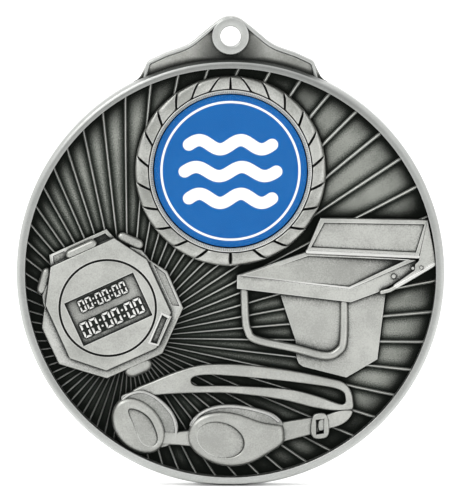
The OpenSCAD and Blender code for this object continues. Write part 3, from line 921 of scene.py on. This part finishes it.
def leaf_ring():
    """Ring cut into leaves that sweep down from the top on both sides."""
    flat_r = collar_r - 1.25
    edge_fall = 0.95
    edge_steps = 8
    leaf_lean = 0.28
    fade_w = 0.9
    crown = [
        (leaf_in_r, buried),
        (leaf_in_r, leaf_top - 0.16),
        (leaf_in_r + 0.04, leaf_top - 0.07),
        (leaf_in_r + 0.12, leaf_top - 0.02),
        (leaf_in_r + 0.4, leaf_top),
    ]
    for i in range(edge_steps + 1):
        turn = math.radians(90 * i / edge_steps)
        reach = flat_r + (collar_r - flat_r) * math.sin(turn)
        crown.append((reach, leaf_top - edge_fall * (1 - math.cos(turn))))
    crown.append((collar_r, buried))
    crown.append((leaf_in_r, buried))
    count = len(leaf_columns)
    steps = 2 * LEAVES * count
    ring = turned_shape(crown, steps)
    cut_floor = field_top + 0.5
    for vert in ring.verts:
        radius = math.hypot(vert.co.x, vert.co.y)
        clock = round(math.atan2(vert.co.x, vert.co.y) / math.tau * steps)
        side = 1 if clock >= 0 else -1
        leaf, column = divmod(abs(clock), count)
        if leaf >= LEAVES:
            leaf, column = LEAVES - 1, count
        share = leaf_columns[column] if column < count else 1
        depth = cut_depths[column] if column < count else 1
        inward = (collar_r - radius) / (collar_r - leaf_in_r)
        start = cut_angle(leaf, inward)
        end = cut_angle(leaf + 1, inward)
        angle = math.radians(side * (start + (end - start) * share))
        vert.co.x = radius * math.sin(angle)
        vert.co.y = radius * math.cos(angle)
        fade = min(1, (collar_r - radius) / fade_w)
        if vert.co.z > cut_floor:
            lean = leaf_lean * (share - 1) * fade
            vert.co.z -= (vert.co.z - cut_floor) * depth * fade
            vert.co.z += lean
    bmesh.ops.translate(ring, vec=(insert_at.x, insert_at.y, 0), verts=ring.verts)
    return ring


casting("collar_leaf_ring", leaf_ring(), silver_leaves, crease=50)

# ---- Printed centre ----


def wave_bar(middle_y, half_length, thickness, rise):
    """A bar that waves twice along its length, with round ends."""
    path = []
    steps = 96
    for i in range(steps + 1):
        x = -half_length + 2 * half_length * i / steps
        y = middle_y + rise * math.sin(math.tau * (x + half_length) / half_length)
        path.append(Vector((x, y)))
    return placed(bar_along(path, thickness, 8), insert_at)


def printed_disc():
    base = insert_top - 0.6
    ink_top = insert_top + 0.02
    ink_base = insert_top - 0.05
    corners = [(0, base, 0), (insert_r, base, 0.05), (insert_r, insert_top, 0.06), (0, insert_top, 0)]
    blank = turned_shape(rounded_profile(corners, closed=False), 192, insert_at)
    line_r = 11.1
    line_in = circle(insert_at, line_r, 192)
    line_out = circle(insert_at, line_r + 0.37, 192)
    shells = [blank, (relief(line_out, ink_top, 0, holes=[line_in], hole_shoulder=0, base=ink_base), 1)]
    for middle_y, half_length in ((4.3, 6.8), (-0.1, 7.5), (-4.5, 6.8)):
        bar = wave_bar(middle_y, half_length, 2.0, 0.75)
        shells.append((relief(bar, ink_top, 0, base=ink_base), 1))
    return joined(shells)


piece("printed_centre", printed_disc(), [blue_ink, white_ink], ["insert_disc"])

film_r = insert_r - 0.05
film_base = insert_top + 0.03
film_corners = [(0, film_base, 0), (film_r, film_base, 0), (film_r, film_top, 0.04), (0, film_top, 0)]
film = turned_shape(rounded_profile(film_corners, closed=False), 192, insert_at)
piece("clear_laminate", film, film_clear, ["insert_film"])

# ---- Stopwatch ----

WATCH_AT = Vector((-20.1, -5.7))
WATCH_TILT = 24.4
back_case = both_sides([(5, -10.6), (11.2, -5.2), (11.3, 1.4), (9.5, 4.2)])
front_case = both_sides([(4.5, -9.3), (9.1, -5), (9.1, 4.6), (5.7, 10)])
strap_slot = straight([(7.65, -4.7), (8.35, -5.7), (4.95, -8.75), (4.05, -8.0)])
slot_frame = straight([(7.75, -4.2), (8.95, -5.6), (4.95, -9.15), (3.5, -8.0)])
slot_under = straight([(7.9, -4.4), (8.7, -5.6), (4.95, -9.0), (3.7, -8.0)])
display = straight([(-6.2, -4.1), (6.2, -4.1), (6.2, 3.6), (-6.2, 3.6)])
RING_R = 7.72
GROOVE = 0.34


def watch(points):
    return placed(points, WATCH_AT, WATCH_TILT)


back_top = front("watch_back_case")
case_top = front("watch_front_case")
bracket_top = front("watch_bracket")

flank_pocket = watch([(9.75, 3.3), (9.75, -4.0), (10.75, -4.6), (10.85, 1.2)])
pocket_under = watch(both_sides([(4.5, -9.9), (10.95, -4.9), (10.95, 1.2), (9.2, 3.8)]))
boss = straight([(7.0, 7.2), (8.5, 4.6), (9.5, 3.8), (9.35, 5.0), (8.95, 6.3), (7.5, 7.6)])
back_shells = [
    relief(watch(boss), back_top + 0.2, 0.25, 4),
    relief(watch(mirrored(boss)), back_top + 0.2, 0.25, 4),
    relief(watch(back_case), back_top, 0.25, 4, [flank_pocket], 0.1),
    relief(pocket_under, back_top - 0.2, 0),
]
casting("watch_back_case", joined(back_shells))

display_floor = case_top - 0.5
slot_floor = case_top - 0.42
groove_out = watch(circle((0, 0), RING_R + GROOVE))
face_edge = watch(circle((0, 0), RING_R))
ground_w = 11.1
ground_shape = rounded_box((ground_w, 2.95), 0.35)
small_ground = rounded_box((0.77 * ground_w, 2.35), 0.3)
front_shells = [
    relief(watch(front_case), case_top, 0.2, 4, [groove_out, watch(strap_slot)], 0.04),
    relief(watch(slot_frame), case_top + 0.1, 0.1, 3, [watch(strap_slot)], 0.05, base=back_top - 0.1),
    relief(face_edge, case_top, 0.06, 3, [watch(display)], 0.06, base=case_top - 0.7),
    relief(watch(slot_under), slot_floor, 0),
    (relief(watch(circle((0, 0), RING_R + 0.6)), display_floor, 0), 1),
    (relief(watch(placed(small_ground, (0, 2.0))), display_floor + 0.03, 0), 2),
    (relief(watch(placed(ground_shape, (0, -1.8))), display_floor + 0.03, 0), 2),
]
front_metals = [silver_relief, silver_display, digit_ground]
casting("watch_front_case", joined(front_shells), front_metals)


def zero_digit(at, height):
    """Bars of a zero, mitred at its corners: two level ones and four upright ones."""
    half_w = 0.25 * height
    half_h = height / 2
    bar = 0.13 * height
    gap = 0.03 * height
    level = [
        (half_w - gap, half_h),
        (gap - half_w, half_h),
        (gap + bar - half_w, half_h - bar),
        (half_w - bar - gap, half_h - bar),
    ]
    upright = [
        (half_w, half_h - gap),
        (half_w - bar, half_h - bar - gap),
        (half_w - bar, bar / 2 + gap),
        (half_w, gap),
    ]
    bars = []
    for up in (-1, 1):
        bars.append([at + Vector((x, up * y)) for x, y in level])
        for side in (-1, 1):
            bars.append([at + Vector((side * x, up * y)) for x, y in upright])
    return bars


def digit_row(middle_y, height):
    """Three pairs of zeros with a colon between the pairs."""
    pitch = 0.62 * height
    colon_pitch = 0.28 * height
    pair_pitch = 2 * pitch + colon_pitch
    bars = []
    for pair in (-1, 0, 1):
        for half in (-1, 1):
            at = Vector((pair * pair_pitch + half * pitch / 2, middle_y))
            bars += zero_digit(at, height)
    dot_r = 0.07 * height
    for side in (-1, 1):
        for level in (-1, 1):
            at = Vector((side * pair_pitch / 2, middle_y + level * 0.2 * height))
            bars.append(circle(at, dot_r, 10))
    return bars


digits_top = front("watch_digits")
digit_shells = []
for row_y, row_height in ((2.0, 2.0), (-1.8, 2.6)):
    for bar in digit_row(row_y, row_height):
        digit_shells.append(relief(watch(bar), digits_top, 0.05, 2, base=display_floor - 0.1))
casting("watch_digits", joined(digit_shells), silver_digits)

bracket = watch(both_sides([(5.9, 9.4), (5.15, 11.8)]))
bracket_slot = watch(straight([(2.6, 10.2), (5.1, 10.1), (4.65, 11.25), (2.6, 11.25)]))
left_slot = watch(straight([(-2.7, 10.2), (-5.1, 10.1), (-4.65, 11.35), (-2.7, 11.35)])[::-1])
bracket_floor = watch(straight([(2.0, 9.6), (5.4, 9.6), (4.9, 11.5), (2.0, 11.5)]))
left_floor = watch(straight([(-5.4, 9.6), (-2.0, 9.6), (-2.0, 11.6), (-4.9, 11.6)]))
bracket_shells = [
    relief(bracket, bracket_top, 0.16, 3, [bracket_slot, left_slot], 0.1),
    relief(bracket_floor, bracket_top - 0.5, 0),
    relief(left_floor, bracket_top - 0.14, 0),
]
casting("watch_bracket", joined(bracket_shells))


def watch_button(name, at, turn, size, lift):
    outline = watch(placed(rounded_bar(size, 10), at, turn))
    casting(name, relief(outline, front(name) + lift, 0.36 * size[1], 6))


watch_button("watch_left_button", (-7.65, 8.2), 48, (4.5, 1.8), 0.25)
watch_button("watch_right_button", (7.85, 8.4), -48, (4.5, 1.75), 0.25)
watch_button("watch_lower_button", (0.4, -10.9), 0, (5.0, 3.1), 0)
watch_button("watch_top_button", (0.05, 10.4), 0, (5.6, 1.75), 0.75)

# ---- Starting block ----

platform_top = front("block_platform")
pedestal_top = front("block_pedestal")
footrest_top = front("block_footrest_frame")
panel_top = front("block_footrest_panel")
side_top = front("block_side_plate")
rail_top = front("block_handrail")


def raised_points(points, top, drops):
    """Points of a sloping face, each so far below the top, read backwards."""
    return [(x, y, top - drop) for (x, y), drop in zip(points, drops)][::-1]


pedestal_front = raised_points(
    [(8, -3.2), (19.5, -4.6), (19, -17.3), (11.9, -15.5), (11.2, -15.0), (10.85, -14.2), (10.6, -11.1)],
    pedestal_top,
    [0.3, 0, 0, 0.2, 0.26, 0.3, 0.3],
)
pedestal_side = raised_points(
    [(19.5, -4.6), (25.5, -2.6), (24.1, -14.3), (19, -17.3)],
    pedestal_top,
    [0, 0.3, 0.3, 0],
)
pedestal = facets([pedestal_front, pedestal_side], 0.14)
casting("block_pedestal", pedestal)

front_lip = raised_points(
    [(1.05, -0.3), (19.45, -2.3), (19.7, -4.8), (1.05, -2.55)],
    platform_top,
    [0.1, 0.06, 0.24, 0.3],
)
side_lip = raised_points(
    [(19.45, -2.3), (30.2, 2.2), (30.8, 0.5), (24.4, -3.05), (19.7, -4.8)],
    platform_top,
    [0.06, 0.34, 0.45, 0.38, 0.24],
)
frame_outline = straight([(1.0, -0.4), (19.5, -2.62), (30.5, 2.2), (12.3, 3.45)])[::-1]
tread_opening = straight([(3.3, -0.4), (19.4, -2.2), (28.7, 2.2), (12.75, 2.85)])[::-1]
platform_shells = [
    facets([front_lip, side_lip], 0.1),
    relief(frame_outline, platform_top + 0.05, 0.16, 4, [tread_opening], 0.1),
]
casting("block_platform", joined(platform_shells))

tread_outline = straight([(1.6, -0.3), (19.5, -2.45), (30.0, 2.5), (12.5, 3.2)])[::-1]
tread = relief(tread_outline, platform_top - 0.06, 0)
sloped(tread, (14, -1.6), (17.5, 2.7), 0.4)
casting("block_tread", tread, silver_tread)

footrest = straight([(14.7, 9.05), (32.3, 8.75), (30.8, 2.5), (12.3, 3.4)])[::-1]
footrest_opening = straight([(15.3, 8.3), (31.7, 8.05), (30.3, 3.45), (13.2, 4.3)])[::-1]
foot_bar = bar_along(straight([(12.6, 3.55), (30.7, 2.75)]), 0.66)
panel_outline = straight([(15.0, 8.6), (32.0, 8.3), (30.6, 3.1), (12.8, 3.9)])[::-1]
footrest_shells = [
    relief(footrest, footrest_top, 0.14, 3, [footrest_opening], 0.12),
    relief(foot_bar, footrest_top + 0.14, 0.26, 5),
]
casting("block_footrest_frame", joined(footrest_shells))
casting("block_footrest_panel", relief(panel_outline, panel_top, 0))

side_plate = straight([
    (32.2, 8.8), (33.4, 3), (33.5, 1.35), (27.2, -2.35), (26.6, -1.95), (30.0, 0.45), (30.2, 1.5),
    (30.8, 2.1), (30.9, 2.9),
])
lower_lip = bar_along(straight([(24.75, -3.1), (26.1, -2.75), (33.5, 1.6)]), 0.66)
side_shells = [
    relief(side_plate[::-1], side_top, 0.12, 3),
    relief(lower_lip, side_top + 0.12, 0.26, 5),
]
casting("block_side_plate", joined(side_shells))

rail_path = open_curve([
    (2.25, -2.5), (2.4, -7), (2.8, -9.4), (4.2, -11), (10.4, -12.4), (15.4, -13.6), (17.6, -12.9),
    (18.5, -11), (18.6, -4.6),
])
rail = relief(bar_along(rail_path, 1.25), rail_top + 0.1, 0.55, 7)
sloped(rail, (10, -13), (10, -2.8), 0.5)
casting("block_handrail", rail)


def bolt_head(at, radius, base):
    top = base + 0.3
    profile = [(0, base - 0.3, 0), (radius, base - 0.3, 0), (radius, top, 0.75 * radius), (0, top, 0)]
    return turned_shape(rounded_profile(profile, closed=False, steps=5), 20, at)


bolts = [
    bolt_head((26.7, -0.5), 0.42, platform_top - 0.25),
    bolt_head((29.8, 0.9), 0.26, side_top),
    bolt_head((31.2, 1.0), 0.26, side_top),
]
casting("block_bolts", joined(bolts))

# ---- Goggles ----

left_cup = closed_curve([
    (-19.5, -23.5), (-18.5, -21.25), (-16.5, -20.5), (-14.2, -21.2), (-12.1, -23.0), (-10.8, -25.6),
    (-11.0, -28.1), (-12.6, -29.6), (-15, -29.8), (-17.4, -28.6), (-19.0, -26.3),
])
left_lens = closed_curve([
    (-16.7, -22.5), (-14.9, -22.7), (-13.3, -23.9), (-12.4, -25.6), (-12.0, -27.2), (-12.5, -28.2),
    (-13.6, -28.4), (-14.7, -27.6), (-15.7, -25.2),
])
left_gasket = closed_curve([
    (-17.9, -20.9), (-16.4, -19.7), (-14.5, -19.3), (-12.5, -20.1), (-10.6, -21.6), (-9.2, -23.5),
    (-8.6, -25.7), (-9.4, -27.9), (-12, -28.6), (-14, -25),
])
right_cup = closed_curve([
    (-7.0, -26.5), (-6.2, -24.6), (-4.4, -23.3), (-1.8, -22.8), (0.6, -23.05), (2.7, -23.7),
    (4.9, -24.5), (7.2, -24.9), (8.5, -25.2), (8.8, -26.6), (8.5, -28.2), (6.2, -29.8), (3.9, -31.1),
    (1.8, -31.75), (-0.4, -31.9), (-2.8, -31.4), (-5.2, -30.1), (-6.7, -28.4),
])
right_lens = ellipse((-1.6, -27.45), (3.95, 2.8), -18)
right_gasket = closed_curve([
    (-6.6, -25.4), (-5.4, -23.3), (-3.1, -22.1), (-0.2, -21.7), (3.2, -22.1), (6.4, -23), (8, -24),
    (8.5, -25.2), (6, -26), (-2, -26),
])
bridge = straight([
    (-12.4, -25.9), (-10.6, -26.1), (-8.8, -26.2), (-6.2, -25.9), (-5.6, -28.7), (-8.6, -28.4),
    (-11.2, -28.3), (-12.8, -28.6),
])
strap = closed_curve([
    (-16.2, -19.6), (-12.6, -17.8), (-8.6, -16.2), (-4.6, -15.2), (0.8, -15.1), (6.3, -15.6),
    (11.6, -16.4), (16.2, -17.4), (18.4, -18), (19.6, -19.2), (20.1, -20.9), (19.9, -22.6),
    (17.2, -22.8), (14, -22.3), (8.8, -21), (3.4, -20.2), (-1.9, -19.8), (-9.4, -19.95),
    (-12.5, -20.4), (-14.5, -21.5),
])
strap_opening = closed_curve([
    (-6.5, -17.8), (-5.6, -17), (-1.9, -16.85), (6.3, -17.55), (14.8, -18.6), (17.9, -19.3),
    (18.8, -20.3), (18.3, -21.7), (13.8, -20.2), (9.6, -19.2), (3.4, -18.75), (-1.9, -18.6),
    (-5.6, -18.6),
])
side_strap = straight([(7.6, -24.8), (14.2, -23.7), (14.6, -26.3), (7.8, -28.1)])
buckle = closed_curve([
    (13.3, -24.4), (13.8, -23.3), (15.3, -23.1), (16.0, -23.9), (16.2, -25.6), (16.1, -26.6),
    (15.5, -27.2), (13.9, -27.3), (13.2, -26.4),
])
buckle_window = straight([(14.0, -24.2), (15.35, -24.0), (15.3, -26.4), (14.05, -26.6)])
strap_tail = closed_curve([
    (14.6, -24.1), (17.2, -22.9), (19.2, -22.6), (20, -22.9), (19.4, -24.1), (18, -25.1), (16, -25.7),
    (14.5, -26),
])

cup_top = front("goggle_left_cup")
gasket_top = front("goggle_left_gasket") + 0.25
strap_top = front("goggle_strap")

# Each lens lies nearly level with its cup on one side and sinks towards the other.
for side_name, cup, lens, lens_start, lens_end, lens_fall in (
    ("left", left_cup, left_lens, (-15.6, -27.2), (-12.8, -24.4), 0.5),
    ("right", right_cup, right_lens, (-4.9, -29.2), (1.6, -25.4), 0.5),
):
    cup_shape = relief(cup, cup_top + 0.1, 0.95, 7, [lens], 0.3)
    casting(f"goggle_{side_name}_cup", cup_shape)
    lens_shape = relief(swollen(lens, 0.12), cup_top + 0.09, 0)
    sloped(lens_shape, lens_start, lens_end, lens_fall)
    casting(f"goggle_{side_name}_lens", lens_shape)

left_gasket_edge = open_curve([
    (-17.7, -20.95), (-16.4, -19.95), (-14.5, -19.6), (-12.6, -20.35), (-10.9, -21.8), (-9.5, -23.6),
    (-8.95, -25.7), (-9.1, -27),
])
right_gasket_edge = open_curve([
    (-6.3, -25.2), (-5.2, -23.5), (-3.1, -22.4), (-0.2, -22.0), (3.2, -22.4), (6.2, -23.3),
    (7.8, -24.4),
])
for side_name, gasket, gasket_edge in (
    ("left", left_gasket, left_gasket_edge),
    ("right", right_gasket, right_gasket_edge),
):
    gasket_shells = [
        relief(gasket, gasket_top, 0.2, 3),
        relief(bar_along(gasket_edge, 0.46), gasket_top + 0.2, 0.2, 4),
    ]
    casting(f"goggle_{side_name}_gasket", joined(gasket_shells), silver_shaded)

casting("goggle_bridge", relief(bridge, front("goggle_bridge"), 0.4, 4))
casting("goggle_strap", relief(strap, strap_top, 0.4, 5, [strap_opening], 0.3))
casting("goggle_side_strap", relief(side_strap, strap_top, 0.35, 4))
casting("goggle_strap_tail", relief(strap_tail, strap_top + 0.2, 0.26, 4))
casting("goggle_buckle", relief(buckle, front("goggle_buckle"), 0.3, 4, [buckle_window], 0.15))

# ---- Stage ----

scene = bpy.context.scene
scene.view_settings.view_transform = "Standard"


def pale_floor():
    bm = bmesh.new()
    bmesh.ops.create_grid(bm, x_segments=1, y_segments=1, size=6)
    bmesh.ops.translate(bm, vec=(0, 3, cad_low.z - 0.00005), verts=bm.verts)
    mesh = bpy.data.meshes.new("floor")
    bm.to_mesh(mesh)
    bm.free()
    floor = bpy.data.objects.new("floor", mesh)
    scene.collection.objects.link(floor)
    material, tree, shader = start_material("pale floor")
    place = place_on_piece(tree)
    mottle = grain(tree, place, 0.02, 3)
    tone = varied(tree, mottle, 0, 1)
    colour = blend_colours(tree, tone, (0.955, 0.955, 0.955), (0.965, 0.965, 0.965))
    tree.links.new(colour, shader.inputs["Base Color"])
    shader.inputs["Roughness"].default_value = 0.8
    shader.inputs["Emission Color"].default_value = (1, 1, 1, 1)
    shader.inputs["Emission Strength"].default_value = 0.2
    mesh.materials.append(material)


pale_floor()

world = bpy.data.worlds.new("studio")
scene.world = world
world.use_nodes = True


def studio_light():
    """White behind the medal, and a pale tent round it that is brightest behind and above."""
    tree = world.node_tree
    room = tree.nodes["Background"]
    direction = tree.nodes.new("ShaderNodeTexCoord").outputs["Generated"]
    towards = tree.nodes.new("ShaderNodeVectorMath")
    towards.operation = "DOT_PRODUCT"
    towards.inputs[1].default_value = (-0.25, 0.8, 0.55)
    tree.links.new(direction, towards.inputs[0])
    room_light = spread(tree, towards.outputs["Value"], -1, 1, 0.76, 1.55, False)
    room.inputs["Color"].default_value = (1, 1, 1, 1)
    tree.links.new(room_light, room.inputs["Strength"])
    backdrop = tree.nodes.new("ShaderNodeBackground")
    backdrop.inputs["Color"].default_value = (1, 1, 1, 1)
    path = tree.nodes.new("ShaderNodeLightPath")
    either = tree.nodes.new("ShaderNodeMixShader")
    tree.links.new(path.outputs["Is Camera Ray"], either.inputs["Fac"])
    tree.links.new(room.outputs["Background"], either.inputs[1])
    tree.links.new(backdrop.outputs["Background"], either.inputs[2])
    tree.links.new(either.outputs["Shader"], tree.nodes["World Output"].inputs["Surface"])


studio_light()


def soft_box(name, at, size, power):
    light = bpy.data.lights.new(name, "AREA")
    light.shape = "RECTANGLE"
    light.size, light.size_y = size
    light.energy = power
    lamp = bpy.data.objects.new(name, light)
    lamp.location = at
    aim = Vector((0, 0, disc_at.y)) - Vector(at)
    lamp.rotation_euler = aim.to_track_quat("-Z", "Y").to_euler()
    scene.collection.objects.link(lamp)


soft_box("key softbox", (-0.5, -0.5, 0.6), (0.5, 0.5), 3.1)
soft_box("fill softbox", (0.6, -0.7, 0.2), (0.4, 0.6), 1.0)

camera_data = bpy.data.cameras.new("camera")
camera_data.type = "PERSP"
camera_data.lens = 400
camera_data.sensor_width = 36
camera_data.clip_end = 20
camera = bpy.data.objects.new("camera", camera_data)
scene.collection.objects.link(camera)
scene.camera = camera
CAMERA_RISE = math.radians(5.5)
FRAME_HEIGHT = 0.0819
look_at = Vector((0, -0.0025, disc_at.y + 0.00367))
far = FRAME_HEIGHT / (camera_data.sensor_width / camera_data.lens)
back_off = Vector((0, -math.cos(CAMERA_RISE), math.sin(CAMERA_RISE)))
camera.location = look_at + back_off * far
camera.rotation_euler = (-back_off).to_track_quat("-Z", "Y").to_euler()
